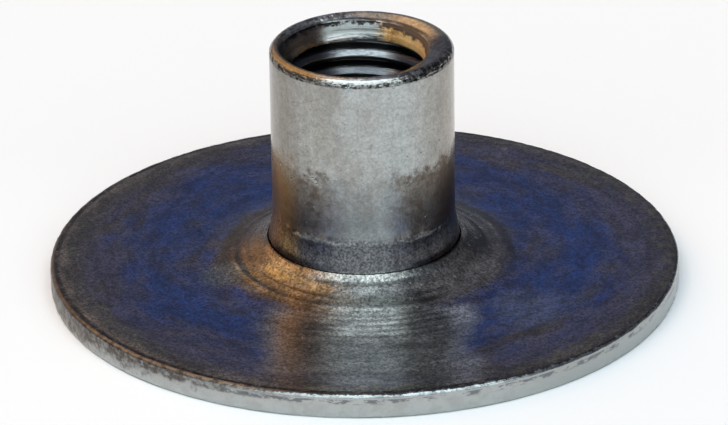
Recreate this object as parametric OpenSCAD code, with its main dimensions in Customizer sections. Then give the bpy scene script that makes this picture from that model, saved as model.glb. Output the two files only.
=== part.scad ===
// Round-base weld nut, drawn in one piece from sheet steel.
// The flange lies on the plane z = 0 and the barrel stands up along +Z.
// The thread itself is not cut: the bore is the plain wall at its minor diameter.

/* [Flange] */
// Diameter of the round base
flange_d = 40; // [28:0.5:80]
// Thickness of the sheet
sheet_t = 1.6; // [1:0.1:2.5]
// Width of the die roll along the top edge of the rim
die_roll_w = 0.9; // [0.4:0.1:1.6]
// How far the top edge drops at the die roll
die_roll_h = 0.14; // [0.05:0.01:0.3]
// Height of the fractured band at the bottom of the sheared rim
fracture_h = 0.5; // [0.2:0.05:0.8]
// How far the fractured band leans in at the underside
fracture_lean = 0.08; // [0.02:0.01:0.2]

/* [Barrel] */
// Outer diameter of the barrel
barrel_d = 11.6; // [11:0.1:14]
// Height from the underside of the flange to the rim
overall_h = 16; // [10:0.5:30]
// Radius of the rim's outer edge
rim_r = 0.85; // [0.3:0.05:0.85]
// Radius of the rim's inner edge
lip_r = 0.3; // [0.1:0.05:0.35]
// Height above the flange of the shoulder left by the last draw
shoulder_rise = 3.5; // [3.2:0.1:6]
// How far the wall steps out under the shoulder
shoulder_step = 0.08; // [0.04:0.01:0.2]
// Height of the shoulder's slope
shoulder_h = 0.15; // [0.05:0.01:0.3]

/* [Bore] */
// Diameter of the bore, the minor diameter of the thread
bore_d = 8.7; // [7:0.1:9]
// Diameter of the thread's lead-in at the rim
lead_d = 9.2; // [9.1:0.1:9.5]
// Depth of the lead-in below the rim
lead_h = 1.85; // [0.8:0.05:3]

/* [Root] */
// Radius of the drawn curve between flange and barrel
root_r = 4; // [2.8:0.1:6]
// Height above the flange at which the curve meets the barrel in a crease
root_rise = 1.5; // [1:0.1:1.8]
// Radius of the flare at the foot of the barrel, just above the crease
flare_r = 4; // [2:0.1:8]
// Height of the flare above the crease
flare_h = 1.5; // [0.6:0.1:1.8]

/* [Draw rings] */
// Number of rings that the drawing dies left round the barrel
ring_count = 3; // [1:1:4]
// Diameter of the innermost ring
ring_d = 14.4; // [13.6:0.1:16]
// Radial distance from one ring to the next
ring_gap = 1.3; // [0.8:0.05:1.6]
// Radius of a ring's crest
ring_r = 0.3; // [0.2:0.05:0.5]
// How far a ring stands proud of the sheet
ring_proud = 0.05; // [0.02:0.01:0.1]

/* [Hidden] */
$fn = 180;

flange_r = flange_d / 2;
barrel_r = barrel_d / 2;
bore_r = bore_d / 2;
lead_r = lead_d / 2;

// the die roll is one arc, tangent to the flange's top face
roll_r = (pow(die_roll_w, 2) + pow(die_roll_h, 2)) / (2 * die_roll_h);

// the rim's two roundings share the wall between barrel and lead-in
rim_round = min(rim_r, barrel_r - lead_r - lip_r);

// heights above the underside
crease_z = sheet_t + root_rise;
flare_z = crease_z + flare_h;
shoulder_z = sheet_t + shoulder_rise;
lead_z = overall_h - lead_h;

// the barrel's foot is a straight wall, which runs down into the flare at a tangent
foot_r = barrel_r + shoulder_step;
crease_r = foot_r + flare_r - sqrt(pow(flare_r, 2) - pow(flare_h, 2));

// centre of the drawn curve, which is tangent to the flange and ends in the crease
curve_x = crease_r + sqrt(pow(root_r, 2) - pow(root_r - root_rise, 2));
curve_z = sheet_t + root_r;

// the bell mouth keeps the sheet's thickness, and leaves the bore at a tangent at its widest
bell_r = root_r + sheet_t;
bell_x = min(curve_x, bore_r + bell_r);

// how far one shape runs on inside another, and a cut runs on past a face
overlap = 0.2;

// height of the sheet's top face at radius r, on the flange or on the drawn curve
function sheet_top(r) =
    r < curve_x ? curve_z - sqrt(pow(root_r, 2) - pow(curve_x - r, 2)) : sheet_t;

// outward normal of that face at radius r
function sheet_normal(r) =
    r < curve_x ? [curve_x - r, curve_z - sheet_top(r)] / root_r : [0, 1];

// half section of the blanked disc, with the die roll above and the fracture below
module flange_section() {
    difference() {
        polygon([
            [0, 0],
            [flange_r - fracture_lean, 0],
            [flange_r, fracture_h],
            [flange_r, sheet_t],
            [0, sheet_t],
        ]);
        difference() {
            translate([flange_r - die_roll_w, sheet_t - die_roll_h])
                square([die_roll_w + overlap, die_roll_h + overlap]);
            translate([flange_r - die_roll_w, sheet_t - roll_r])
                circle(r = roll_r, $fn = 6 * $fn);
        }
    }
}

// half section of the sheet where it sweeps up from the flange into the barrel
module root_section() {
    difference() {
        square([curve_x, flare_z]);
        translate([curve_x, curve_z]) circle(r = root_r);
    }
}

// half section of the barrel, with its flared foot, shoulder and rounded rim
module barrel_section() {
    difference() {
        translate([0, crease_z - overlap])
            square([foot_r + flare_r, flare_h + overlap]);
        translate([foot_r + flare_r, flare_z]) circle(r = flare_r);
    }
    polygon([
        [0, sheet_t],
        [foot_r, sheet_t],
        [foot_r, shoulder_z - shoulder_h],
        [barrel_r, shoulder_z],
        [barrel_r, overall_h - rim_round],
        [0, overall_h - rim_round],
    ]);
    square([barrel_r - rim_round, overall_h]);
    translate([barrel_r - rim_round, overall_h - rim_round]) circle(r = rim_round);
}

// crests that the dies of the earlier draws pressed into the sheet
module ring_sections() {
    for (i = [0 : ring_count - 1]) {
        r = ring_d / 2 + i * ring_gap;
        translate([r, sheet_top(r)] - (ring_r - ring_proud) * sheet_normal(r))
            circle(r = ring_r);
    }
}

// half section of the hole: bell mouth under the flange, bore, lead-in and rounded lip
module hole_section() {
    translate([0, -overlap]) square([bore_r, overall_h + 2 * overlap]);
    difference() {
        translate([0, -overlap]) square([bell_x, bell_r + overlap]);
        translate([bell_x, bell_r]) circle(r = bell_r);
    }
    polygon([
        [0, lead_z],
        [bore_r, lead_z],
        [lead_r, overall_h - lip_r],
        [lead_r, overall_h + overlap],
        [0, overall_h + overlap],
    ]);
    difference() {
        translate([0, overall_h - lip_r]) square([lead_r + lip_r, lip_r + overlap]);
        translate([lead_r + lip_r, overall_h - lip_r]) circle(r = lip_r);
    }
}

module weld_nut() {
    color("#5b5f68")
        rotate_extrude()
            difference() {
                union() {
                    flange_section();
                    root_section();
                    barrel_section();
                    ring_sections();
                }
                hole_section();
            }
}

weld_nut();
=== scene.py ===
import math
import bpy
from functools import partial
from mathutils import Matrix, Vector


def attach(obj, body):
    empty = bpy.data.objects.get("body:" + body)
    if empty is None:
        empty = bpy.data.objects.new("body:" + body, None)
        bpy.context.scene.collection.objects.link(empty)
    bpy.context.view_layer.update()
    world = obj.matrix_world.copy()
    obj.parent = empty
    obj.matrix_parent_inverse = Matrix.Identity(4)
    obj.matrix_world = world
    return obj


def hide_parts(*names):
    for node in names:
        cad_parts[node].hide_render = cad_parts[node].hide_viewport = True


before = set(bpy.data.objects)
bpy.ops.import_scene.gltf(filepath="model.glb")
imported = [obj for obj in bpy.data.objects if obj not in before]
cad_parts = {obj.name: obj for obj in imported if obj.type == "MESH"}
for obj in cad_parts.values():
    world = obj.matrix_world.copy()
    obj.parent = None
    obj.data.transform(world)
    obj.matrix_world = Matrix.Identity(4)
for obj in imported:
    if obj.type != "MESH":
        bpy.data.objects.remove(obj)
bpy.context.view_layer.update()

mm = 0.001  # every size below is in millimetres, and is scaled once where it meets Blender


def linearFromHex(text):
    # sRGB hex to the linear colour that shaders and lamps work in
    values = [int(text[i:i + 2], 16) / 255 for i in (1, 3, 5)]
    return [v / 12.92 if v <= 0.04045 else ((v + 0.055) / 1.055) ** 2.4 for v in values] + [1.0]


# the nodes used most, by a short name: the kind of node and its settings
usualNodes = {
    # these two take a value, its low and high ends, and what they become
    "ramp": ("ShaderNodeMapRange", {"interpolation_type": "SMOOTHSTEP"}),
    "line": ("ShaderNodeMapRange", {}),
    # takes a point, a seed, 1 / size in millimetres, detail and roughness
    "noise": ("ShaderNodeTexNoise", {"noise_dimensions": "4D"}),
    # these two take the second one's share, the first one and the second one
    "blend": ("ShaderNodeMix", {"data_type": "RGBA"}),
    "mix": ("ShaderNodeMix", {"data_type": "FLOAT"}),
}
for operation in ("ADD", "SUBTRACT", "MULTIPLY", "DIVIDE", "MULTIPLY_ADD", "ABSOLUTE", "MAXIMUM",
                  "FLOOR", "FRACT", "MODULO", "SQRT", "EXPONENT", "SINE", "COSINE", "COMPARE",
                  "LESS_THAN", "GREATER_THAN"):
    usualNodes[operation.lower()] = ("ShaderNodeMath", {"operation": operation})


def addNode(tree, kind, *values, **settings):
    # one node with its settings, and its inputs in order or as one dictionary by name: a node or a
    # socket is linked, a hex colour is made linear, and anything else is set as it is
    kind, usual = usualNodes.get(kind, (kind, {}))
    node = tree.nodes.new(kind)
    for name, value in {**usual, **settings}.items():
        setattr(node, name, value)
    if values and isinstance(values[0], dict):
        given = [(node.inputs[name], value) for name, value in values[0].items()]
    else:
        given = list(zip([socket for socket in node.inputs if socket.enabled], values))
    for socket, value in given:
        if isinstance(value, bpy.types.Node):
            value = next(output for output in value.outputs if output.enabled)
        if isinstance(value, bpy.types.NodeSocket):
            tree.links.new(value, socket)
        else:
            isHex = isinstance(value, str) and value.startswith("#")
            socket.default_value = linearFromHex(value) if isHex else value
    return node


# sizes of the drawn nut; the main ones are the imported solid's
nut = {
    "flangeRadius": 20.0,
    "sheet": 1.6,
    "dieRollWidth": 0.9,
    "dieRollDrop": 0.03,
    "edgeRadius": 0.26,     # the die roll ends in this rounding
    "footHeight": 0.12,     # the torn foot of the sheared edge
    "footLean": 0.08,
    "barrelRadius": 5.8,
    "height": 16.0,
    "rimRadius": 0.52,
    # the rim's inner slope and the lead-in, down to the lip that hangs over the first turn
    "mouth": ((5.16, 15.955), (5.02, 15.895), (4.88, 15.825), (4.74, 15.745), (4.63, 15.67), (4.6, 15.6),
              (4.56, 15.55), (4.5, 15.5), (4.43, 15.34), (4.375, 15.16), (4.345, 15.02), (4.295, 14.94),
              (4.28, 14.88), (4.235, 14.7), (4.2, 14.52), (4.2, 14.46), (4.23, 14.42)),
    "shoulderHeight": 5.06,
    "shoulderSlope": 0.3,
    "shoulderFade": 0.07,   # the step under the shoulder is gone on both flanks of the barrel
    "boreRadius": 4.35,
    "mouthShift": -0.42,    # the mouth was trimmed off centre; the thread is true
    "rootRadius": 4.0,
    "rootStart": 9.294,
    "flatMiddle": 12.6,     # the flange's rows are closer together inside this
    "slopeEnd": (11.2, 1.6),
    "slopeMiddle": (9.2, 1.765),
    "slopes": (0.0, -0.17, -0.45),  # how steep the skin is at these two, and where the facet starts
    # the skin climbs in small bends, and is steepest in the band under the crease
    "facet": ((7.28, 2.23), (7.18, 2.285), (7.1, 2.33), (6.96, 2.39), (6.88, 2.435), (6.8, 2.475),
              (6.72, 2.51), (6.62, 2.55), (6.5, 2.62), (6.36, 2.755), (6.2, 2.93)),
    # the foot of the barrel flares a little and tucks in at the crease
    "foot": ((6.17, 2.945), (6.12, 2.88), (6.09, 2.85), (6.08, 2.95), (6.085, 3.1), (6.03, 3.42),
             (5.97, 3.7), (5.925, 4.05), (5.895, 4.35), (5.88, 4.6)),
    "ringRadii": (7.7, 8.45),
    "frontRingRadii": (9.45, 10.0, 10.7, 11.4, 12.1),  # the blank holder marked these at the front only
    "ringWidth": 0.17,
    "ringProud": 0.04,
    "ringShift": (0.18, -0.22),  # the draw rings sit a little off the barrel's axis
    "threadMajor": 5.0,
    "threadPitch": 1.25,
    "threadStart": 0.22,  # where in a turn the thread begins
    # one turn of the thread: height as a share of the pitch, depth as a share of the whole
    "threadProfile": ((0.04, 0.0), (0.2, 0.0), (0.26, 0.06), (0.4, 0.29), (0.54, 0.52), (0.63, 0.8),
                      (0.71, 1.0), (0.78, 0.97), (0.88, 0.5), (0.97, 0.07)),
    "threadRunIn": 0.12,  # the thread stops this far under the lip
    "turnEnds": 0.03,     # its depth where one turn meets the next
    "mouthHeights": (13.2, 15.6),  # the mouth's shift grows from the first to the second
    "mouthRadii": (5.28, 4.62),
    "flankCosines": (0.6, 0.84),  # the shoulder fades out between these two directions
    "frontRingY": (-8.0, -9.4),
    "frontRingX": (5.0, 2.8),
    "ringTop": 4.0,       # no ring lies above this height
    "ringSwing": (0.35, 0.62),  # noise at which the rings are weak and at which they are strong
    "nickShare": (0.46, 0.62),
    "noiseCells": {"swing": 160.0, "nicks": 3400.0, "waves": 230.0},  # to a metre
    "sharpAngle": 33.0,   # edges steeper than this stay crisp
    "segments": 312,
    "rows": {"underside": 8, "tornFoot": 2, "edge": 6, "corner": 9, "dieRoll": 3, "flatOuter": 14,
             "flatInner": 15, "slope": 20, "root": 24, "barrel": 20, "rimSide": 6, "rimTop": 8, "bell": 12},
    "seed": 7.3,
}


def arcPoints(centreR, centreZ, radius, startDegrees, endDegrees, count):
    # points on an arc in the half-section, without the first one
    made = []
    for i in range(1, count + 1):
        a = math.radians(startDegrees + (endDegrees - startDegrees) * i / count)
        made.append((centreR + radius * math.cos(a), centreZ + radius * math.sin(a)))
    return made


def curvePoints(start, startSlope, end, endSlope, count):
    # points on a curve that leaves and arrives at the given slopes, without the first one
    made, reach = [], end[0] - start[0]
    for i in range(1, count + 1):
        t = i / count
        z = (2 * t ** 3 - 3 * t ** 2 + 1) * start[1] + (t ** 3 - 2 * t ** 2 + t) * startSlope * reach \
            + (3 * t ** 2 - 2 * t ** 3) * end[1] + (t ** 3 - t ** 2) * endSlope * reach
        made.append((start[0] + reach * t, z))
    return made


def linePoints(start, end, count):
    return [(start[0] + (end[0] - start[0]) * i / count,
             start[1] + (end[1] - start[1]) * i / count) for i in range(1, count + 1)]


def halfSection(n):
    # the closed half-section, out along the underside, in over the flange, up the barrel and down the
    # bore, as rows of radius, height, wear depth, wave depth, lift, part and share of the shoulder's fade
    flangeR, barrelR, sheet = n["flangeRadius"], n["barrelRadius"], n["sheet"]
    rootX, rootZ = n["rootStart"], sheet + n["rootRadius"]
    bellR = n["rootRadius"] + sheet
    rollStart = (flangeR - n["dieRollWidth"], sheet)
    rollEnd = (flangeR - n["edgeRadius"], sheet - n["dieRollDrop"])
    edgeZ = rollEnd[1] - n["edgeRadius"]
    rimX, rimZ = barrelR - n["rimRadius"], n["height"] - n["rimRadius"]
    footStart, footEnd = (flangeR - n["footLean"], 0.0), (flangeR, n["footHeight"])
    flatMiddle = (n["flatMiddle"], sheet)
    slopes, count = n["slopes"], n["rows"]
    skin, edge, hole, under = range(4)  # the parts, in the order of the steels
    rows = []

    def add(points, part, wear=0.0, wave=0.0, lift=0.0, fades=None):
        for i, (r, z) in enumerate(points):
            rows.append((r, z, wear, wave, lift, part, fades[i] if fades else 0.0))

    add([(rootX, 0.0)], under)
    add(linePoints((rootX, 0.0), footStart, count["underside"]), under, wave=0.02)
    add(linePoints(footStart, footEnd, count["tornFoot"]), edge, wear=0.05)
    add(linePoints(footEnd, (flangeR, edgeZ), count["edge"]), edge, wear=0.015)
    add(arcPoints(rollEnd[0], edgeZ, n["edgeRadius"], 0, 90, count["corner"]), edge, wear=0.025)
    add(linePoints(rollEnd, rollStart, count["dieRoll"]), skin, wear=0.02)
    add(linePoints(rollStart, flatMiddle, count["flatOuter"]), skin, wave=0.03)
    add(linePoints(flatMiddle, n["slopeEnd"], count["flatInner"]), skin, wave=0.03)
    add(curvePoints(n["slopeEnd"], slopes[0], n["slopeMiddle"], slopes[1], count["slope"]), skin, wave=0.03)
    add(curvePoints(n["slopeMiddle"], slopes[1], n["facet"][0], slopes[2], count["root"]), skin, wave=0.03)
    add(n["facet"][1:], skin, wear=0.01, wave=0.015)
    add(n["foot"][:5], skin, wear=0.025)
    add(n["foot"][5:], skin, wave=0.015, fades=[0.1, 0.25, 0.5, 0.8, 1.0])
    shoulderFoot = (n["foot"][-1][0], n["shoulderHeight"] - n["shoulderSlope"])
    shoulder = (barrelR, n["shoulderHeight"])
    add([shoulderFoot], skin, wave=0.01, fades=[1.0])
    add(linePoints(shoulderFoot, shoulder, 3), skin, wear=0.03, fades=[0.67, 0.33, 0.0])
    add(linePoints(shoulder, (barrelR, rimZ), count["barrel"]), skin, wave=0.02)
    add(arcPoints(rimX, rimZ, n["rimRadius"], 0, 30, count["rimSide"]), skin, wear=0.06)
    add(arcPoints(rimX, rimZ, n["rimRadius"], 30, 90, count["rimTop"]), skin, wear=0.008, wave=0.01)
    add(n["mouth"][:5], skin, wear=0.015, wave=0.01)
    add(n["mouth"][5:], hole, wear=0.01)
    # the thread's rows rise by one pitch on their way round, and lie on the corners of its profile
    pitch = n["threadPitch"]
    threadTop = n["mouth"][-1][1] - n["threadRunIn"]
    threadBottom = rootZ - math.sqrt(bellR ** 2 - (rootX - n["threadMajor"]) ** 2)
    turn = math.ceil(threadTop / pitch)
    helix = []
    while turn * pitch > threadBottom - 2 * pitch:
        helix += [(n["boreRadius"], (turn + share) * pitch) for share, _ in reversed(n["threadProfile"])]
        turn -= 1
    add(helix, hole, lift=1.0)
    bellStart = math.degrees(math.atan2(threadBottom - rootZ, n["threadMajor"] - rootX)) % 360
    add([(n["threadMajor"], threadBottom)], under)
    add(arcPoints(rootX, rootZ, bellR, bellStart, 270, count["bell"]), under)
    named = {"threadTop": threadTop, "threadBottom": threadBottom, "bellX": rootX, "bellZ": rootZ,
             "bellRadius": bellR}
    return rows, named


def inMetres(sizes):
    return [size * mm for size in sizes]


def sectionMesh(rows):
    # the rows as loose vertices, with what the tree reads of each as attributes
    mesh = bpy.data.meshes.new("nutSection")
    mesh.from_pydata([(r * mm, 0.0, z * mm) for r, z, *_ in rows], [], [])
    columns = {"wear": [], "wave": [], "lift": [], "part": [], "fade": [], "facingOut": [], "facingUp": []}
    for i, (r, z, wear, wave, lift, part, fade) in enumerate(rows):
        before, after = rows[max(i - 1, 0)], rows[min(i + 1, len(rows) - 1)]
        dr, dz = after[0] - before[0], after[1] - before[1]
        long = math.hypot(dr, dz) or 1.0
        columns["wear"].append(wear * mm)
        columns["wave"].append(wave * mm)
        columns["lift"].append(lift)
        columns["part"].append(float(part))
        columns["fade"].append(fade)
        columns["facingOut"].append(-1.0 if lift else dz / long)
        columns["facingUp"].append(0.0 if lift else -dr / long)
    for name, values in columns.items():
        mesh.attributes.new(name, "FLOAT", "POINT").data.foreach_set("value", values)
    return mesh


def revolveTree(n, named, materials):
    # turns the half-section into the nut: a grid of rows by steps round the axis, whose bore rows
    # climb one pitch a turn and are cut to the thread's profile
    tree = bpy.data.node_groups.new("revolvedNut", "GeometryNodeTree")
    node = partial(addNode, tree)
    face = tree.interface
    face.new_socket("Geometry", in_out="INPUT", socket_type="NodeSocketGeometry")
    face.new_socket("Geometry", in_out="OUTPUT", socket_type="NodeSocketGeometry")
    sizes = {
        "Segments": n["segments"],
        "Pitch": n["threadPitch"] * mm,
        "Thread Depth": (n["threadMajor"] - n["boreRadius"]) * mm,
        "Thread Top": named["threadTop"] * mm,
        "Thread Bottom": named["threadBottom"] * mm,
        "Bore Radius": n["boreRadius"] * mm,
        "Bell Centre": named["bellX"] * mm,
        "Bell Height": named["bellZ"] * mm,
        "Bell Radius": named["bellRadius"] * mm,
        "Ring Width": n["ringWidth"] * mm,
        "Ring Height": n["ringProud"] * mm,
        "Ring Shift X": n["ringShift"][0] * mm,
        "Ring Shift Y": n["ringShift"][1] * mm,
        "Mouth Shift": n["mouthShift"] * mm,
        "Shoulder Fade": n["shoulderFade"] * mm,
        "Seed": n["seed"],
    }
    for name, value in sizes.items():
        kind = "NodeSocketInt" if isinstance(value, int) else "NodeSocketFloat"
        face.new_socket(name, in_out="INPUT", socket_type=kind)
    for name in materials:
        face.new_socket(name, in_out="INPUT", socket_type="NodeSocketMaterial")
    given = node("NodeGroupInput").outputs
    section = given["Geometry"]

    # the grid, and which row and step each of its points is
    rowCount = node("GeometryNodeAttributeDomainSize", section, component="MESH")
    grid = node("GeometryNodeMeshGrid", {"Size X": 1.0, "Size Y": 1.0,
                                         "Vertices X": node("add", given["Segments"], 1.0),
                                         "Vertices Y": rowCount})
    index = node("GeometryNodeInputIndex")
    row = node("modulo", index, rowCount)
    step = node("floor", node("divide", node("add", index, 0.5), rowCount))
    turned = node("divide", step, given["Segments"])
    angle = node("multiply", turned, math.tau)

    def ofRow(name):
        # what the half-section says of this point's row
        kept = node("GeometryNodeInputNamedAttribute", {"Name": name}, data_type="FLOAT")
        return node("GeometryNodeSampleIndex", {"Geometry": section, "Value": kept, "Index": row},
                    data_type="FLOAT", domain="POINT")

    place = node("GeometryNodeSampleIndex",
                 {"Geometry": section, "Value": node("GeometryNodeInputPosition"), "Index": row},
                 data_type="FLOAT_VECTOR", domain="POINT")
    placeParts = node("ShaderNodeSeparateXYZ", place).outputs
    lift = ofRow("lift")

    # the thread: rows climb, stay between the thread's ends, and drop into the groove
    climb = node("multiply", node("add", turned, n["threadStart"]), given["Pitch"])
    climbed = node("add", placeParts["Z"], climb)
    held = node("ShaderNodeClamp",
                {"Value": climbed, "Min": given["Thread Bottom"], "Max": given["Thread Top"]})
    phase = node("fract", node("divide", node("subtract", held, climb), given["Pitch"]))
    groove = node("ShaderNodeFloatCurve", {"Factor": 1.0, "Value": phase})
    points = groove.mapping.curves[0].points
    for share, depth in n["threadProfile"]:
        points.new(share, depth)
    points[0].location, points[-1].location = (0.0, n["turnEnds"]), (1.0, n["turnEnds"])
    for point in points:
        point.handle_type = "VECTOR"
    groove.mapping.update()
    threadR = node("multiply_add", groove, given["Thread Depth"], given["Bore Radius"])
    under = node("maximum", node("subtract", given["Bell Height"], held), 0.0)
    bellSquared = node("multiply", given["Bell Radius"], given["Bell Radius"])
    bellReach = node("sqrt", node("subtract", bellSquared, node("multiply", under, under)))
    bellR = node("subtract", given["Bell Centre"], bellReach)
    cutR = node("maximum", threadR, bellR)

    # rows of the bore take what the thread says, all others their own place
    radius = node("mix", lift, placeParts["X"], cutR)
    height = node("mix", lift, placeParts["Z"], held)
    cosine, sine = node("cosine", angle), node("sine", angle)

    # the step under the shoulder fades out on either flank of the barrel
    flank = node("ramp", node("absolute", cosine), *n["flankCosines"])
    radius = node("subtract", radius,
                  node("multiply", flank, node("multiply", given["Shoulder Fade"], ofRow("fade"))))

    # the mouth sits off centre, and the lead-in brings it back to the thread's axis
    inMouth = node("multiply", node("ramp", height, *inMetres(n["mouthHeights"])),
                   node("line", radius, *inMetres(n["mouthRadii"])))
    smooth = node("ShaderNodeCombineXYZ",
                  node("multiply_add", inMouth, given["Mouth Shift"], node("multiply", radius, cosine)),
                  node("multiply", radius, sine), height)

    # which way the skin faces here
    facingOut = ofRow("facingOut")
    outward = node("ShaderNodeCombineXYZ", node("multiply", facingOut, cosine),
                   node("multiply", facingOut, sine), ofRow("facingUp"))

    # draw rings: soft beads round a centre a little off the axis, weaker in places
    offAxis = node("ShaderNodeVectorMath", smooth,
                   node("ShaderNodeCombineXYZ", given["Ring Shift X"], given["Ring Shift Y"], 0.0),
                   operation="SUBTRACT")
    flat = node("ShaderNodeVectorMath", offAxis, (1.0, 1.0, 0.0), operation="MULTIPLY")
    ringR = node("ShaderNodeVectorMath", flat, operation="LENGTH")

    def ringBeads(radii):
        beads = None
        for ring in radii:
            away = node("divide", node("subtract", ringR, ring * mm), given["Ring Width"])
            bead = node("exponent", node("multiply", node("multiply", away, away), -1.0))
            beads = bead if beads is None else node("add", beads, bead)
        return beads

    nearFront = node("line", node("multiply", radius, sine), *inMetres(n["frontRingY"]))
    aside = node("absolute", node("multiply", radius, cosine))
    nearMiddle = node("line", aside, *inMetres(n["frontRingX"]), 0.25, 1.0)
    inFront = node("multiply", nearFront, nearMiddle)
    beads = node("multiply_add", ringBeads(n["frontRingRadii"]), inFront, ringBeads(n["ringRadii"]))
    onSkin = node("greater_than", ofRow("facingUp"), 0.3)
    lowEnough = node("less_than", placeParts["Z"], n["ringTop"] * mm)
    swing = node("noise", smooth, given["Seed"], n["noiseCells"]["swing"], 1.0)
    strength = node("line", swing, *n["ringSwing"], 0.25, 1.0)
    ringLift = node("multiply", node("multiply", beads, strength),
                    node("multiply", given["Ring Height"], node("multiply", onSkin, lowEnough)))

    # wear only takes away: small nicks along the edges and a slow waviness in the drawn skin
    nicks = node("noise", smooth, given["Seed"], n["noiseCells"]["nicks"], 2.0, 0.6)
    nicked = node("line", nicks, *n["nickShare"])
    waves = node("noise", smooth, node("add", given["Seed"], 5.0), n["noiseCells"]["waves"], 1.0)
    worn = node("add", node("multiply", nicked, ofRow("wear")), node("multiply", waves, ofRow("wave")))
    shift = node("ShaderNodeVectorMath", outward, node("subtract", ringLift, worn), operation="SCALE")
    placed = node("GeometryNodeSetPosition", {"Geometry": grid, "Position": smooth, "Offset": shift})

    # a face takes its part from the row it starts on
    faceRow = node("modulo", index, node("subtract", rowCount, 1.0))
    keptPart = node("GeometryNodeInputNamedAttribute", {"Name": "part"}, data_type="FLOAT")
    facePart = node("GeometryNodeSampleIndex",
                    {"Geometry": section, "Value": keptPart, "Index": node("add", faceRow, 1.0)},
                    data_type="FLOAT", domain="POINT")
    marked = node("GeometryNodeStoreNamedAttribute",
                  {"Geometry": placed, "Name": "part", "Value": facePart}, data_type="FLOAT",
                  domain="FACE")
    closed = node("GeometryNodeMergeByDistance", {"Geometry": marked, "Distance": 0.001 * mm})
    made = node("GeometryNodeRealizeInstances", {"Geometry": closed})
    partOf = node("GeometryNodeInputNamedAttribute", {"Name": "part"}, data_type="FLOAT")
    for number, name in enumerate(materials):
        isPart = node("compare", partOf, float(number), 0.4)
        made = node("GeometryNodeSetMaterial",
                    {"Geometry": made, "Selection": isPart, "Material": given[name]})
    node("NodeGroupOutput", {"Geometry": made})
    return tree, sizes


def makeNut(n, materials):
    rows, named = halfSection(n)
    section = bpy.data.objects.new("nutSection", sectionMesh(rows))
    bpy.context.scene.collection.objects.link(section)
    tree, sizes = revolveTree(n, named, materials)
    revolve = section.modifiers.new("revolve", "NODES")
    revolve.node_group = tree
    given = dict(sizes)
    given.update(materials)
    for item in tree.interface.items_tree:
        if item.in_out == "INPUT" and item.name in given:
            revolve[item.identifier] = given[item.name]
    evaluated = section.evaluated_get(bpy.context.evaluated_depsgraph_get())
    mesh = bpy.data.meshes.new_from_object(evaluated)
    mesh.name = "drawnNut"
    section.modifiers.clear()
    bpy.data.objects.remove(section)
    mesh.shade_smooth()
    mesh.set_sharp_from_angle(angle=math.radians(n["sharpAngle"]))
    piece = bpy.data.objects.new("drawnNut", mesh)
    bpy.context.scene.collection.objects.link(piece)
    return piece


def surfaceFields(node):
    # where the shader is on the nut, in millimetres: the point, its parts, and its distance from the axis
    metres = node("ShaderNodeTexCoord").outputs["Object"]
    point = node("ShaderNodeVectorMath", metres, 1 / mm, operation="SCALE")
    parts = node("ShaderNodeSeparateXYZ", point).outputs
    flat = node("ShaderNodeVectorMath", point, (1.0, 1.0, 0.0), operation="MULTIPLY")
    radius = node("ShaderNodeVectorMath", flat, operation="LENGTH")
    return point, parts, radius


def newMaterial(name):
    material = bpy.data.materials.new(name)
    material.use_nodes = True
    material.node_tree.nodes.clear()
    return material, partial(addNode, material.node_tree)


heatTint = {
    "barrel": "#b0b6b5",  # burnished by the die, so nearly clean steel
    "barrelWarm": "#98948d",
    "foot": "#69696a",    # under the last draw's shoulder the scale stayed on
    "rimTop": "#bab8b3",
    "rimStain": "#6b635a",
    # painted shade on the front right of the rim
    "rimRightShade": "#4b4440",
    # painted reflection on the back right of the rim: grey, and gold further right
    "rimFar": "#8e9496",
    "rimGold": "#bdb19a",
    # painted warm reflection on the front left of the rim, deeper further left
    "rimStraw": "#8d7850",
    "rimStrawDeep": "#685a3c",
    "barrelLow": "#82786c",
    "barrelLeft": "#85817a",
    # painted shade on the barrel's lower right flank and low on its far left edge
    "barrelEdgeShade": "#665749",
    # painted warm reflection on the barrel's lower left
    "barrelStraw": "#ac8d5d",
    # painted shade in the corner at the barrel's foot
    "creaseShade": "#3c322c",
    "nickShade": "#3b3937",
    "root": "#8f8f8c",    # grey in front, straw and bronze to the left
    # painted warm reflection on the root's left: straw, then brown further out
    "rootStraw": "#9c8961",
    "rootBrown": "#756650",
    # painted shade: the darker grey of the band above the crease
    "rootHighlightShade": "#80807c",
    "rootShade": "#7d756d",
    "rootFar": "#5c5655",
    # painted shade next to the barrel on the right and back of the root
    "rootDeepShade": "#151313",
    "rootBurnt": "#54463a",
    # painted glints on the root's right
    "rootGlint": "#b4b5b3",
    "slate": "#605c70",
    "blue": "#364e88",
    "brown": "#625a55",
    "olive": "#736c5c",
    "tan": "#86796c",
    "mirrorBandTone": "#878688",    # painted reflection: nearly bare metal where the barrel is mirrored in the flange
    # painted reflection: the right part of that band, lighter
    "mirrorBandRight": "#b4b4b6",
    # painted reflection: a light patch in front of the barrel's foot
    "frontSheen": "#dededa",
    "greyPatch": "#747b78",
    "haze": "#70768c",
    # painted shade along the top of the die roll
    "darkShade": "#35302d",
    # painted shade along the collar's edge
    "collarLine": "#2b2a2c",
    "blueBand": 12.7,     # radius at which the oxide is thickest
    "rootEdge": 9.2,
    "roughBarrel": 0.2,
    "roughLow": 0.3,
    "roughRim": 0.2,
    "roughRoot": 0.26,
    "roughFlange": 0.27,
}


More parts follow.
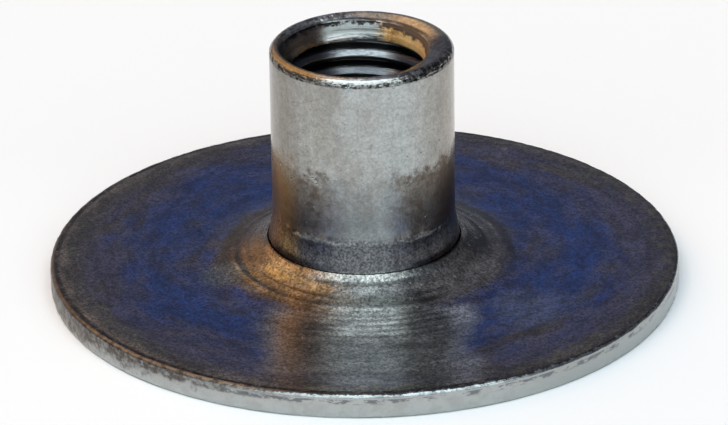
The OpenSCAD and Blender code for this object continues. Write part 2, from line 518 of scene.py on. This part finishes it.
def makeHeatTintedDrawnSteel(h):
    # low-carbon sheet steel, deep drawn and heat tinted: satin metal under a thin oxide film, which the
    # eye sees as blue and bronze clouds on the flange and as clean grey where the die burnished the barrel
    material, node = newMaterial("heatTintedDrawnSteel")
    point, parts, radius = surfaceFields(node)
    height = parts["Z"]
    # the clouds' edges wander by a millimetre or two
    wander = node("noise", point, 3.1, 0.22, 4.0).outputs["Color"]
    moved = node("ShaderNodeVectorMath",
                 node("ShaderNodeVectorMath", wander, (0.5, 0.5, 0.5), operation="SUBTRACT"),
                 (8.0, 8.0, 0.0), point, operation="MULTIPLY_ADD")
    # the film is thickest, and bluest, in a band half way out
    movedFlat = node("ShaderNodeVectorMath", moved, (1.0, 1.0, 0.0), operation="MULTIPLY")
    movedRadius = node("ShaderNodeVectorMath", movedFlat, operation="LENGTH")
    fromBand = node("absolute", node("subtract", movedRadius, h["blueBand"]))
    blueness = node("ramp", fromBand, 5.4, 1.0, 0.0, 0.9)
    # the clouds are drawn out round the axis
    unit = node("ShaderNodeVectorMath", node("ShaderNodeCombineXYZ", parts["X"], parts["Y"], 0.0),
                operation="NORMALIZE")
    unitParts = node("ShaderNodeSeparateXYZ", unit).outputs
    polar = node("ShaderNodeCombineXYZ", node("multiply", unitParts["X"], 9.0),
                 node("multiply", unitParts["Y"], 9.0), node("multiply", radius, 1.5))
    clouds = node("noise", polar, 1.7, 1 / 2.9, 5.0, 0.62)
    blueness = node("multiply_add", node("subtract", clouds, 0.52), 4.0, blueness, use_clamp=True)
    browner = node("ramp", parts["X"], -4.0, -16.0, 0.0, 1.0)
    outerRim = node("ramp", node("add", node("multiply_add", clouds, 2.0, radius), browner), 18.9, 20.8)
    brownClouds = node("ramp", node("noise", polar, 9.2, 1 / 3.4, 5.0, 0.65), 0.48, 0.62)
    slate = node("blend", brownClouds, h["slate"], h["brown"])
    # small drawn-out patches, darker and lighter than the film round them
    streaks = node("noise", polar, 15.0, 1 / 1.3, 4.0, 0.65)
    outer = node("ramp", node("multiply_add", streaks, 2.4, radius), 19.0, 20.2)
    patches = node("noise", point, 16.0, 1 / 0.8, 4.0, 0.7)
    slate = node("blend", node("multiply", outer, node("ramp", patches, 0.46, 0.6)), slate, h["olive"])
    flange = node("blend", blueness, slate, h["blue"])
    rimPatches = node("ramp", patches, 0.44, 0.6)
    flange = node("blend", outerRim, flange, node("blend", rimPatches, h["brown"], h["olive"]))
    tan = node("multiply", node("ramp", node("multiply_add", streaks, 1.6, radius), 19.6, 20.1, 0.0, 0.8),
               node("ramp", parts["X"], -2.0, -9.0))
    flange = node("blend", tan, flange, h["tan"])
    # painted shade: a dark line along the top of the die roll, weaker on the right
    dieRollShade = node("multiply", node("ramp", node("multiply_add", clouds, 0.3, radius), 19.5, 19.72),
                    node("ramp", parts["X"], 5.0, 12.0, 1.0, 0.3))
    dieRollShade = node("multiply", dieRollShade,
                    node("ramp", node("noise", point, 18.0, 1 / 0.6, 4.0, 0.7), 0.36, 0.56, 0.35, 1.0))
    # fine rings that the blank holder rubbed into the scale
    rubbed = node("noise", node("ShaderNodeCombineXYZ", node("multiply", unitParts["X"], 3.0),
                                node("multiply", unitParts["Y"], 3.0), radius), 6.6, 1 / 0.55, 3.0, 0.6)
    # painted reflection: a band on the front of the flange, nearly bare metal and lighter on the right,
    # where the barrel is mirrored in it
    movedParts = node("ShaderNodeSeparateXYZ",
                      node("ShaderNodeMix", 0.5, point, moved, data_type="VECTOR")).outputs
    mirrorBand = node("multiply", node("ramp", node("absolute", movedParts["X"]), 7.4, 5.2),
                    node("multiply", node("ramp", movedParts["Y"], -7.0, -9.0),
                         node("ramp", movedParts["Y"], -19.0, -16.0, 0.35, 1.0)))
    flange = node("blend", mirrorBand, flange,
                  node("blend", node("ramp", parts["X"], 2.6, 3.8), h["mirrorBandTone"], h["mirrorBandRight"]))
    # painted reflection: a lighter patch just in front of the barrel's foot, where the barrel is mirrored,
    # broken by the rubbed rings
    edgeClouds = node("multiply", node("subtract", clouds, 0.5), 3.0)
    frontSheen = node("multiply", node("ramp", node("add", radius, edgeClouds), 13.6, 11.6),
                     node("multiply", node("ramp", parts["Y"], -7.0, -8.2),
                          node("ramp", node("add", node("absolute", node("subtract", parts["X"], 0.3)),
                                            edgeClouds), 4.0, 1.9)))
    frontSheen = node("multiply", frontSheen, node("ramp", rubbed, 0.34, 0.6, 0.45, 1.0))
    flange = node("blend", dieRollShade, flange, h["darkShade"])
    greyPatch = node("ramp", node("ShaderNodeVectorMath", point, (-8.9, -3.2, 1.8), operation="DISTANCE"),
                     2.0, 0.9, 0.0, 0.6)
    haze = node("ramp", node("ShaderNodeVectorMath", moved, (10.2, -9.0, 1.6), operation="DISTANCE"),
                3.4, 1.2, 0.0, 0.6)
    flange = node("blend", haze, flange, h["haze"])
    rootClouds = node("noise", point, 4.4, 1 / 1.8, 4.0, 0.6)
    # painted warm reflection: straw on the left of the root, brown further out, where the warm lamp's
    # reflection falls
    straw = node("ramp", node("multiply_add", node("subtract", rootClouds, 0.5), 6.0, parts["X"]),
                 -1.0, -4.5)
    strawTone = node("blend", node("ramp", node("multiply_add", rootClouds, 0.8, radius), 7.3, 8.1),
                     h["rootStraw"], h["rootBrown"])
    root = node("blend", straw, h["root"], strawTone)
    # painted shade: the root is darker in clouds and towards its right
    shaded = node("maximum", node("ramp", rootClouds, 0.5, 0.64), node("ramp", parts["X"], 2.2, 4.5),
                  use_clamp=True)
    root = node("blend", node("multiply", shaded, 0.85), root, h["rootShade"])
    # painted shade on the right and back of the root, deepest next to the barrel
    farShade = node("multiply", node("ramp", parts["X"], 3.0, 5.5), node("ramp", parts["Y"], -3.5, 0.5))
    root = node("blend", farShade, root,
                node("blend", node("ramp", radius, 7.6, 8.3), h["rootDeepShade"], h["rootFar"]))
    edgeR = node("multiply_add", rootClouds, -1.2, node("add", radius, 0.6))
    # painted shade: the band just above the crease, where the lamps' highlight falls, is toned down to a
    # darker grey, less where the root is straw and not on the right
    highlightBand = node("multiply", node("ramp", node("multiply_add", rootClouds, 0.4, radius), 7.15, 6.95),
                  node("ramp", straw, 0.0, 1.0, 1.0, 0.35))
    highlightBand = node("multiply", highlightBand, node("ramp", parts["X"], 4.0, 5.5, 1.0, 0.0))
    root = node("blend", highlightBand, root, h["rootHighlightShade"])
    # painted glints: small light specks on the right of the root
    glints = node("multiply",
                  node("ramp", node("noise", point, 17.0, 1 / 0.32, 2.0, 0.6), 0.6, 0.7, 0.0, 0.7),
                  node("ramp", parts["X"], 1.5, 4.0))
    root = node("blend", glints, root, h["rootGlint"])
    root = node("blend", node("multiply", straw, node("ramp", parts["Y"], -3.9, -1.9, 0.0, 0.85)), root,
                h["rootBurnt"])
    skin = node("blend", node("ramp", edgeR, h["rootEdge"] - 0.45, h["rootEdge"] + 0.45), root, flange)
    skin = node("blend", greyPatch, skin, h["greyPatch"])
    # the painted reflection in front of the barrel's foot
    skin = node("blend", node("multiply", frontSheen, node("ramp", radius, 8.1, 8.8)), skin,
                h["frontSheen"])
    # painted shade: a dark line along the collar's edge on the right and back
    fromCollar = node("absolute", node("subtract", edgeR, h["rootEdge"] + 0.1))
    skin = node("blend", node("multiply", farShade, node("ramp", fromCollar, 0.5, 0.1, 0.0, 0.8)), skin,
                h["collarLine"])
    # foot of the barrel, up to the shoulder, and then the barrel
    wobble = node("multiply_add", node("subtract", rootClouds, 0.5), 0.5, height)
    skin = node("blend", node("ramp", wobble, 2.95, 3.15), skin, h["foot"])
    # the barrel: a warm cast at random, and painted shade, warmer and darker on both flanks and darker on
    # the left; towards the bottom it is painted a little darker, a painted reflection of the flange
    upright = node("ShaderNodeMapping", {"Vector": point, "Scale": (1.0, 1.0, 0.4)})
    cast = node("ramp", node("noise", upright, 7.7, 1 / 4.0, 3.0, 0.6), 0.42, 0.66)
    flanks = node("ramp", node("absolute", parts["X"]), 2.2, 5.6)
    barrel = node("blend", node("maximum", node("multiply", cast, 0.7), flanks), h["barrel"],
                  h["barrelWarm"])
    barrel = node("blend", node("ramp", parts["X"], -3.0, -5.4, 0.0, 0.8), barrel, h["barrelLeft"])
    barrel = node("blend", node("ramp", height, 8.8, 6.2, 0.0, 0.25), barrel, h["foot"])
    mottle = node("noise", point, 13.0, 1 / 0.55, 4.0, 0.7)
    ragged = node("multiply_add", node("subtract", mottle, 0.5), 5.0, wobble)
    # painted reflection: the barrel's lower flanks are darker, mottled and with a ragged edge, where they
    # mirror the dark flange
    lowFlanks = node("multiply", node("ramp", ragged, 9.7, 8.5),
                     node("ramp", node("multiply_add", node("subtract", rootClouds, 0.5), 5.0,
                                       node("absolute", parts["X"])), 0.9, 3.2))
    lowTone = node("multiply", lowFlanks, node("ramp", mottle, 0.38, 0.58, 1.0, 0.6))
    barrel = node("blend", lowTone, barrel, h["barrelLow"])
    # painted shade: the barrel's lower right flank is darkened
    lowRightShade = node("multiply", node("ramp", ragged, 9.9, 8.7), node("ramp", parts["X"], 4.1, 5.4))
    barrel = node("blend", lowRightShade, barrel, h["barrelEdgeShade"])
    # painted warm reflection: a straw tone on the lower left of the barrel, where the warm lamp's
    # reflection falls
    leftStraw = node("multiply", node("ramp", parts["X"], -3.7, -4.9),
                     node("multiply", node("ramp", ragged, 10.6, 6.6), node("ramp", height, 3.0, 3.2)))
    onRim = node("ramp", wobble, 15.5, 15.75)
    specks = node("noise", point, 14.0, 1 / 0.4, 4.0, 0.7)
    farRight = node("multiply", node("ramp", parts["X"], -1.0, 0.5), node("ramp", parts["Y"], 0.5, 2.0))
    rimStain = node("multiply", node("ramp", specks, 0.42, 0.6),
                    node("multiply", node("ramp", radius, 5.55, 5.35),
                         node("ramp", farRight, 0.0, 1.0, 1.0, 0.3)))
    # painted reflection: the back right of the rim is grey, and gold further right where the warm lamp's
    # reflection falls
    rimTop = node("blend", farRight, h["rimTop"],
                  node("blend", node("ramp", parts["X"], 1.2, 3.2), h["rimFar"], h["rimGold"]))
    rimTop = node("blend", rimStain, rimTop, h["rimStain"])
    # painted shade: the front right of the rim is darkened, with lighter specks
    nearRight = node("multiply", node("ramp", parts["X"], 0.8, 3.0), node("ramp", parts["Y"], 2.5, 0.5))
    rimTop = node("blend", node("multiply", nearRight, node("ramp", specks, 0.46, 0.58, 1.0, 0.25)),
                  rimTop, h["rimRightShade"])
    # painted warm reflection: a straw tone on the front left of the rim, deeper further left
    nearLeft = node("multiply", node("ramp", parts["X"], -1.6, -3.4), node("ramp", parts["Y"], 2.5, 0.5))
    rimTop = node("blend", node("multiply", nearLeft, 0.85), rimTop,
                  node("blend", node("ramp", parts["X"], -4.5, -5.3), h["rimStraw"], h["rimStrawDeep"]))
    # painted shade on the lower inner lip at the back of the rim, weaker on the left
    lipShade = node("multiply", node("ramp", node("multiply_add", specks, 0.12, height), 15.87, 15.81),
                   node("multiply", node("ramp", parts["Y"], 0.6, 2.2, 0.0, 0.9),
                        node("ramp", parts["X"], -3.6, -1.8, 0.35, 1.0)))
    rimTop = node("blend", lipShade, rimTop, h["nickShade"])
    barrel = node("blend", onRim, barrel, rimTop)
    # dark nicks round the rim's outer edge under its highlight: partly nicks, partly painted shade
    nicks = node("ramp", node("noise", point, 12.0, 1 / 0.22, 2.0, 0.6), 0.46, 0.56, 0.5, 1.0)
    nickBand = node("multiply", node("ramp", node("multiply_add", mottle, 0.2, height), 15.5, 15.56),
                    node("ramp", node("multiply_add", mottle, 0.1, height), 15.79, 15.73))
    nicks = node("multiply", node("multiply", nicks, nickBand), node("ramp", radius, 5.4, 5.55))
    barrel = node("blend", nicks, barrel, h["nickShade"])
    onBarrel = node("ramp", wobble, 4.9, 5.4)
    skin = node("blend", onBarrel, skin, barrel)
    skin = node("blend", leftStraw, skin, h["barrelStraw"])
    # painted shade: low on the barrel's far left edge the straw is darkened
    skin = node("blend", node("multiply", leftStraw, node("ramp", parts["X"], -5.25, -5.6, 0.0, 0.7)),
                skin, h["barrelEdgeShade"])
    # painted shade: the corner at the barrel's foot is darkened on either flank
    creaseShade = node("multiply", node("ramp", wobble, 3.8, 3.1),
                       node("multiply", node("ramp", height, 2.84, 2.9),
                            node("ramp", node("absolute", parts["X"]), 2.8, 4.8, 0.0, 0.85)))
    skin = node("blend", creaseShade, skin, h["creaseShade"])
    # the scale's grain, drawn coarser than it is, at 0.15 mm, so that it shows, and marks drawn out along
    # the barrel
    grain = node("noise", point, 2.0, 1 / 0.15, 3.0, 0.65)
    drawnOut = node("ShaderNodeMapping", {"Vector": point, "Scale": (1.0, 1.0, 0.08)})
    drawMarks = node("noise", drawnOut, 6.0, 1 / 0.22, 3.0, 0.6)
    flangeGrain = node("multiply", node("ramp", grain, 0.32, 0.68, 0.42, 1.54),
                       node("ramp", streaks, 0.34, 0.66, 0.72, 1.3))
    barrelGrain = node("multiply", node("multiply", node("ramp", drawMarks, 0.3, 0.7, 0.95, 1.04),
                                        node("ramp", grain, 0.3, 0.7, 0.82, 1.13)),
                       node("ramp", mottle, 0.3, 0.7, 0.84, 1.11))
    shade = node("mix", onBarrel, flangeGrain, barrelGrain)
    skin = node("blend", 1.0, skin, node("ShaderNodeCombineColor", shade, shade, shade),
                blend_type="MULTIPLY")
    smoothness = node("mix", node("ramp", radius, 6.2, 9.4), h["roughRoot"], h["roughFlange"])
    smoothness = node("mix", onBarrel, smoothness, h["roughBarrel"])
    scaly = node("multiply", node("ramp", ragged, 9.7, 8.5), node("ramp", height, 3.0, 3.2))
    smoothness = node("mix", scaly, smoothness, h["roughLow"])
    smoothness = node("mix", node("ramp", height, 14.9, 15.3), smoothness, h["roughRim"])
    roughness = node("multiply_add", node("subtract", clouds, 0.5), 0.16, smoothness)
    # draw marks run up the barrel; grain and soft dents elsewhere
    dents = node("noise", point, 8.0, 1 / 0.9, 2.0, 0.5)
    pits = node("ramp", node("noise", point, 11.0, 1 / 0.35, 2.0, 0.5), 0.66, 0.74)
    relief = node("add", node("multiply", node("multiply", drawMarks, onBarrel), 0.5),
                  node("add", dents, node("multiply", grain, 0.4)))
    relief = node("subtract", relief, pits)
    bump = node("ShaderNodeBump", {"Strength": 0.5, "Distance": 0.02 * mm, "Height": relief})
    shader = node("ShaderNodeBsdfPrincipled",
                  {"Base Color": skin, "Metallic": 1.0, "Roughness": roughness, "Normal": bump})
    node("ShaderNodeOutputMaterial", {"Surface": shader})
    return material


shearedEdge = {
    "steel": "#b0b4b3",
    "worn": "#a6a9a7",
    # painted shade towards the right
    "rightShade": "#a4a7a5",
    # smudges under the corner, and painted shade on it
    "smudgeAndShade": "#74777a",
    # painted shade, brown, on the left
    "brownLeftShade": "#57504a",
    # painted shade on the corner's top and back, and in blotches on the left
    "darkShade": "#3b3735",
    # painted shade on the corner's left
    "cornerShadeLeft": "#81766a",
    "farLeft": "#908c85",
}


def makeShearedSteelEdge(c):
    # the sheet's blanked edge: bright metal burnished by the die, smudged under its corner and torn along
    # its foot,
    # with painted shade: darker on the right, brown and darker on the left, and dark on its corner
    material, node = newMaterial("shearedSteelEdge")
    point, parts = surfaceFields(node)[:2]
    worn = node("noise", point, 1.0, 1 / 0.7, 4.0, 0.65)
    colour = node("blend", node("ramp", worn, 0.4, 0.64), c["steel"], c["worn"])
    # painted shade: the edge is darker towards the right and on the far left
    colour = node("blend", node("ramp", parts["X"], 6.0, 14.0), colour, c["rightShade"])
    colour = node("blend", node("ramp", parts["X"], -16.0, -18.5), colour, c["farLeft"])
    flattened = node("ShaderNodeMapping", {"Vector": point, "Scale": (1.0, 1.0, 2.4)})
    smudges = node("noise", flattened, 2.0, 1 / 0.9, 3.0, 0.7)
    smudgeBand = node("multiply", node("ramp", parts["Z"], 0.85, 1.05),
                      node("ramp", parts["Z"], 1.3, 1.2))
    smudged = node("multiply", node("ramp", smudges, 0.46, 0.56), smudgeBand)
    colour = node("blend", smudged, colour, c["smudgeAndShade"])
    # painted shade: brown and darker on the left, with flecks
    brown = node("ramp", node("multiply_add", node("subtract", worn, 0.5), 26.0,
                              node("multiply_add", parts["Z"], -10.0, parts["X"])), -16.0, -26.0)
    flecks = node("noise", point, 5.0, 1 / 0.4, 3.0, 0.7)
    brown = node("multiply", brown, node("ramp", flecks, 0.38, 0.56, 0.55, 1.0))
    colour = node("blend", brown, colour, c["brownLeftShade"])
    # partly wear, partly painted shade: darker patches over the corner break up its highlight
    corner = node("multiply", node("ramp", parts["Z"], 1.3, 1.42),
                  node("ramp", worn, 0.44, 0.6, 0.0, 0.7))
    colour = node("blend", corner, colour, c["smudgeAndShade"])
    # painted shade on the very top of the corner, and on the whole of it at the back and on the left, where
    # it is brown with dark blotches
    cornerShade = node("multiply_add", node("subtract", flecks, 0.5), 0.4, parts["Z"])
    reach = node("add", node("ramp", parts["Y"], -3.0, 2.0, 0.0, 0.2),
                 node("ramp", parts["X"], -3.0, -9.0, 0.0, 0.14))
    cornerShade = node("ramp", node("add", cornerShade, reach), 1.49, 1.54, 0.0, 0.9)
    leftCorner = node("blend", node("ramp", parts["X"], -15.5, -18.5), c["cornerShadeLeft"], c["brownLeftShade"])
    blotches = node("noise", point, 6.0, 1 / 0.5, 4.0, 0.7)
    leftCorner = node("blend", node("ramp", blotches, 0.44, 0.6, 0.0, 0.85), leftCorner, c["darkShade"])
    colour = node("blend", cornerShade, colour,
                  node("blend", node("ramp", parts["X"], -3.0, -9.0), c["darkShade"], leftCorner))
    tornEdge = node("multiply_add", node("noise", point, 2.0, 1 / 0.7, 3.0, 0.6), 0.2, parts["Z"])
    torn = node("ramp", tornEdge, 0.28, 0.16)
    colour = node("blend", torn, colour, c["worn"])
    roughness = node("multiply_add", node("maximum", torn, brown), 0.18, 0.24)
    relief = node("add", worn, node("multiply", torn, node("noise", point, 3.0, 1 / 0.3, 3.0, 0.6)))
    bump = node("ShaderNodeBump", {"Strength": 0.5, "Distance": 0.02 * mm, "Height": relief})
    shader = node("ShaderNodeBsdfPrincipled",
                  {"Base Color": colour, "Metallic": 1.0, "Roughness": roughness, "Normal": bump})
    node("ShaderNodeOutputMaterial", {"Surface": shader})
    return material


bore = {
    "steel": "#c6c8c7",
    "steelHigh": "#838481",
    "thread": "#989b9c",
    "threadShade": "#4d4e52",
    "bronze": "#6b625a",   # burnt cutting oil
    # painted warm reflection on the right of the bore
    "straw": "#f9c884",
    "brownStraw": "#b98a55",
    # painted shade in the corner under the rim
    "darkShade": "#24211f",
    "brownShade": "#57463a",
}


def makeTappedBoreSteel(c):
    # cut low-carbon steel, bright and with turning marks, with cutting oil burnt brown onto one side, and a
    # straw tone painted on the other where the warm lamp's reflection falls
    material, node = newMaterial("tappedBoreSteel")
    point, parts = surfaceFields(node)[:2]
    roundAbout = node("ShaderNodeMapping", {"Vector": point, "Scale": (0.4, 0.4, 8.0)})
    turning = node("noise", roundAbout, 1.0, 1 / 0.5, 2.0, 0.6)
    stain = node("noise", point, 2.0, 1 / 1.5, 3.0, 0.6)
    across = node("multiply_add", node("subtract", stain, 0.5), 2.4, parts["X"])
    steel = node("blend", node("ramp", parts["Z"], 14.75, 15.05), c["steel"], c["steelHigh"])
    colour = node("blend", node("ramp", across, -1.9, -2.7), steel, c["bronze"])
    # painted warm reflection: a straw tone with brown mottles on the right of the bore, where the warm
    # lamp's reflection falls
    mottles = node("ramp", node("noise", point, 8.0, 1 / 0.5, 4.0, 0.7), 0.44, 0.66)
    mottles = node("multiply", mottles, node("ramp", parts["X"], 1.8, 3.0, 1.0, 0.3))
    strawTone = node("blend", mottles, c["straw"], c["brownStraw"])
    colour = node("blend", node("ramp", across, 0.7, 1.9), colour, strawTone)
    aside = node("multiply_add", node("subtract", stain, 0.5), 1.6, node("absolute", parts["X"]))
    thread = node("blend", node("ramp", aside, 1.3, 2.6), c["thread"], c["threadShade"])
    lyingDown = node("ShaderNodeMapping", {"Vector": point, "Scale": (0.5, 0.5, 2.0)})
    threadStain = node("noise", lyingDown, 4.0, 1 / 0.5, 3.0, 0.7)
    thread = node("blend", node("ramp", threadStain, 0.42, 0.6, 0.0, 0.5), thread, c["threadShade"])
    thread = node("blend", node("ramp", parts["Z"], 13.1, 12.9, 0.0, 0.7), thread, c["threadShade"])
    colour = node("blend", node("ramp", parts["Z"], 14.6, 14.4), colour, thread)
    # painted shade in the corner under the rim, wider and browner on the right
    shadeRag = node("subtract", node("noise", point, 3.0, 1 / 0.4, 3.0, 0.6), 0.5)
    shadeReach = node("ramp", parts["X"], 0.8, 2.6, 0.06, 0.28)
    shadeEdge = node("multiply_add", shadeRag, 1.0, node("add", parts["Z"], shadeReach))
    corner = node("ramp", shadeEdge, 15.42, 15.66)
    colour = node("blend", corner, colour,
                  node("blend", node("ramp", parts["X"], 0.8, 2.0), c["darkShade"], c["brownShade"]))
    onLead = node("multiply", node("ramp", across, 1.0, 1.7), node("ramp", parts["Z"], 14.4, 14.6))
    roughness = node("multiply_add", turning, 0.1, node("multiply_add", onLead, 0.3, 0.2))
    bump = node("ShaderNodeBump", {"Strength": 0.5, "Distance": 0.03 * mm, "Height": turning})
    # the straw patch on the right of the lead-in is less metallic, so that it shows brighter under the
    # lamps
    metal = node("ramp", node("multiply", onLead, node("ramp", parts["X"], 2.0, 3.2)), 0.0, 1.0, 1.0, 0.5)
    shader = node("ShaderNodeBsdfPrincipled",
                  {"Base Color": colour, "Metallic": metal, "Roughness": roughness, "Normal": bump})
    node("ShaderNodeOutputMaterial", {"Surface": shader})
    return material


underside = {
    "slate": "#625f62",
    "blue": "#525a78",
    "bellMouth": "#8c8780",
    "scratch": "#9b9a96",
}


def makeRubbedUndersideSteel(c):
    # the same heat-tinted sheet, rubbed grey where the nut has lain on its flange, paler in the bell mouth
    material, node = newMaterial("rubbedUndersideSteel")
    point, _, radius = surfaceFields(node)
    clouds = node("noise", point, 5.0, 1 / 3.5, 4.0, 0.6)
    alongX = node("ShaderNodeMapping", {"Vector": point, "Scale": (0.12, 1.0, 1.0)})
    scratches = node("noise", alongX, 7.0, 1 / 0.5, 2.0, 0.5)
    colour = node("blend", node("ramp", clouds, 0.4, 0.62), c["slate"], c["blue"])
    colour = node("blend", node("ramp", radius, 10.2, 8.6), colour, c["bellMouth"])
    colour = node("blend", node("multiply", node("ramp", scratches, 0.56, 0.74), 0.2), colour, c["scratch"])
    bump = node("ShaderNodeBump", {"Strength": 0.3, "Distance": 0.02 * mm, "Height": scratches})
    roughness = node("multiply_add", clouds, 0.14, 0.22)
    shader = node("ShaderNodeBsdfPrincipled",
                  {"Base Color": colour, "Metallic": 1.0, "Roughness": roughness, "Normal": bump})
    node("ShaderNodeOutputMaterial", {"Surface": shader})
    return material


steels = {
    "Drawn Steel": makeHeatTintedDrawnSteel(heatTint),
    "Sheared Edge": makeShearedSteelEdge(shearedEdge),
    "Tapped Bore": makeTappedBoreSteel(bore),
    "Underside": makeRubbedUndersideSteel(underside),
}
drawnNut = makeNut(nut, steels)
print("nut made:", len(drawnNut.data.vertices), "points,", len(drawnNut.data.polygons), "faces")
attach(drawnNut, "root")
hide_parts("weld_nut")


studio = {
    "floorColour": "#f9f7f5",
    "floorSize": 6000.0,
    "floorDrop": 0.02,
    "lampDistance": 1500.0,
    "room": 0.34,         # the room's level all round, and overhead
    "ceiling": 0.55,
    "darkSide": 0.5,      # a curtain on the right leaves this share of it
    "roomColour": "#dfe8ff",
    # name: azimuth from the front and elevation in degrees, width and height in mm, roll, radiance, colour
    "lamps": {
        "frontSoftbox": (0.0, 27.0, 3840.0, 1050.0, 0.0, 1.5, "#eafaff"),
        "topSoftbox": (0.0, 69.0, 1800.0, 1000.0, 0.0, 1.8, "#eafaff"),
        "warmSidePanel": (-109.0, 41.0, 2800.0, 560.0, 44.0, 0.9, "#ffc27f"),
        "warmBackPanel": (-147.0, 44.0, 820.0, 2000.0, 0.0, 0.74, "#ffc985"),
    },
}


def makeFloor(s):
    half = s["floorSize"] / 2 * mm
    mesh = bpy.data.meshes.new("studioFloor")
    z = -s["floorDrop"] * mm
    corners = [(-half, -half, z), (half, -half, z), (half, half, z), (-half, half, z)]
    mesh.from_pydata(corners, [], [(0, 1, 2, 3)])
    floor = bpy.data.objects.new("studioFloor", mesh)
    bpy.context.scene.collection.objects.link(floor)
    material, node = newMaterial("paleStudioPaper")
    shader = node("ShaderNodeBsdfPrincipled",
                  {"Base Color": s["floorColour"], "Roughness": 0.9, "Specular IOR Level": 0.1})
    node("ShaderNodeOutputMaterial", {"Surface": shader})
    mesh.materials.append(material)
    return floor


def makeLamp(name, azimuth, elevation, width, height, roll, radiance, colour, distance):
    lamp = bpy.data.lights.new(name, "AREA")
    lamp.shape = "RECTANGLE"
    lamp.size, lamp.size_y = width * mm, height * mm
    lamp.energy = radiance * 4 * lamp.size * lamp.size_y  # watts for that radiance
    lamp.color = linearFromHex(colour)[:3]
    placed = bpy.data.objects.new(name, lamp)
    a, e = math.radians(azimuth), math.radians(elevation)
    away = Vector((math.sin(a) * math.cos(e), -math.cos(a) * math.cos(e), math.sin(e)))
    placed.location = away * distance * mm
    facing = away.to_track_quat("Z", "Y").to_matrix() @ Matrix.Rotation(math.radians(roll), 3, "Z")
    placed.rotation_euler = facing.to_euler()
    placed.visible_camera = False
    bpy.context.scene.collection.objects.link(placed)
    return placed


def makeWorld(s):
    world = bpy.data.worlds.new("studioRoom")
    world.use_nodes = True
    world.node_tree.nodes.clear()
    node = partial(addNode, world.node_tree)
    way = node("ShaderNodeSeparateXYZ", node("ShaderNodeTexCoord").outputs["Generated"]).outputs
    level = node("ramp", way["Z"], 0.6, 1.0, s["room"], s["ceiling"])
    level = node("multiply", level, node("ramp", way["X"], 0.1, 0.6, 1.0, s["darkSide"]))
    background = node("ShaderNodeBackground", {"Color": s["roomColour"], "Strength": level})
    node("ShaderNodeOutputWorld", {"Surface": background})
    bpy.context.scene.world = world


floor = makeFloor(studio)
for name, lampSizes in studio["lamps"].items():
    makeLamp(name, *lampSizes, studio["lampDistance"])
makeWorld(studio)
print("studio made")


camera = {
    "elevation": 25.6515,
    "distance": 314.03,
    "lens": 243.2,
    "tiltUp": 0.725,
    "turn": 0.0099,
    "roll": -0.859,
}


def makeCamera(c):
    data = bpy.data.cameras.new("camera")
    data.lens, data.sensor_width = c["lens"], 36.0
    data.clip_start, data.clip_end = 0.01, 50.0
    placed = bpy.data.objects.new("camera", data)
    e = math.radians(c["elevation"])
    place = Vector((0.0, -math.cos(e), math.sin(e))) * c["distance"] * mm
    aim = Matrix.Rotation(math.radians(90 - c["elevation"]), 4, "X")
    roll, turn, tilt = [Matrix.Rotation(math.radians(c[name]), 4, axis)
                        for name, axis in (("roll", "Z"), ("turn", "Y"), ("tiltUp", "X"))]
    placed.matrix_world = Matrix.Translation(place) @ aim @ roll @ turn @ tilt
    bpy.context.scene.collection.objects.link(placed)
    bpy.context.scene.camera = placed


makeCamera(camera)
bpy.context.scene.view_settings.view_transform = "Standard"
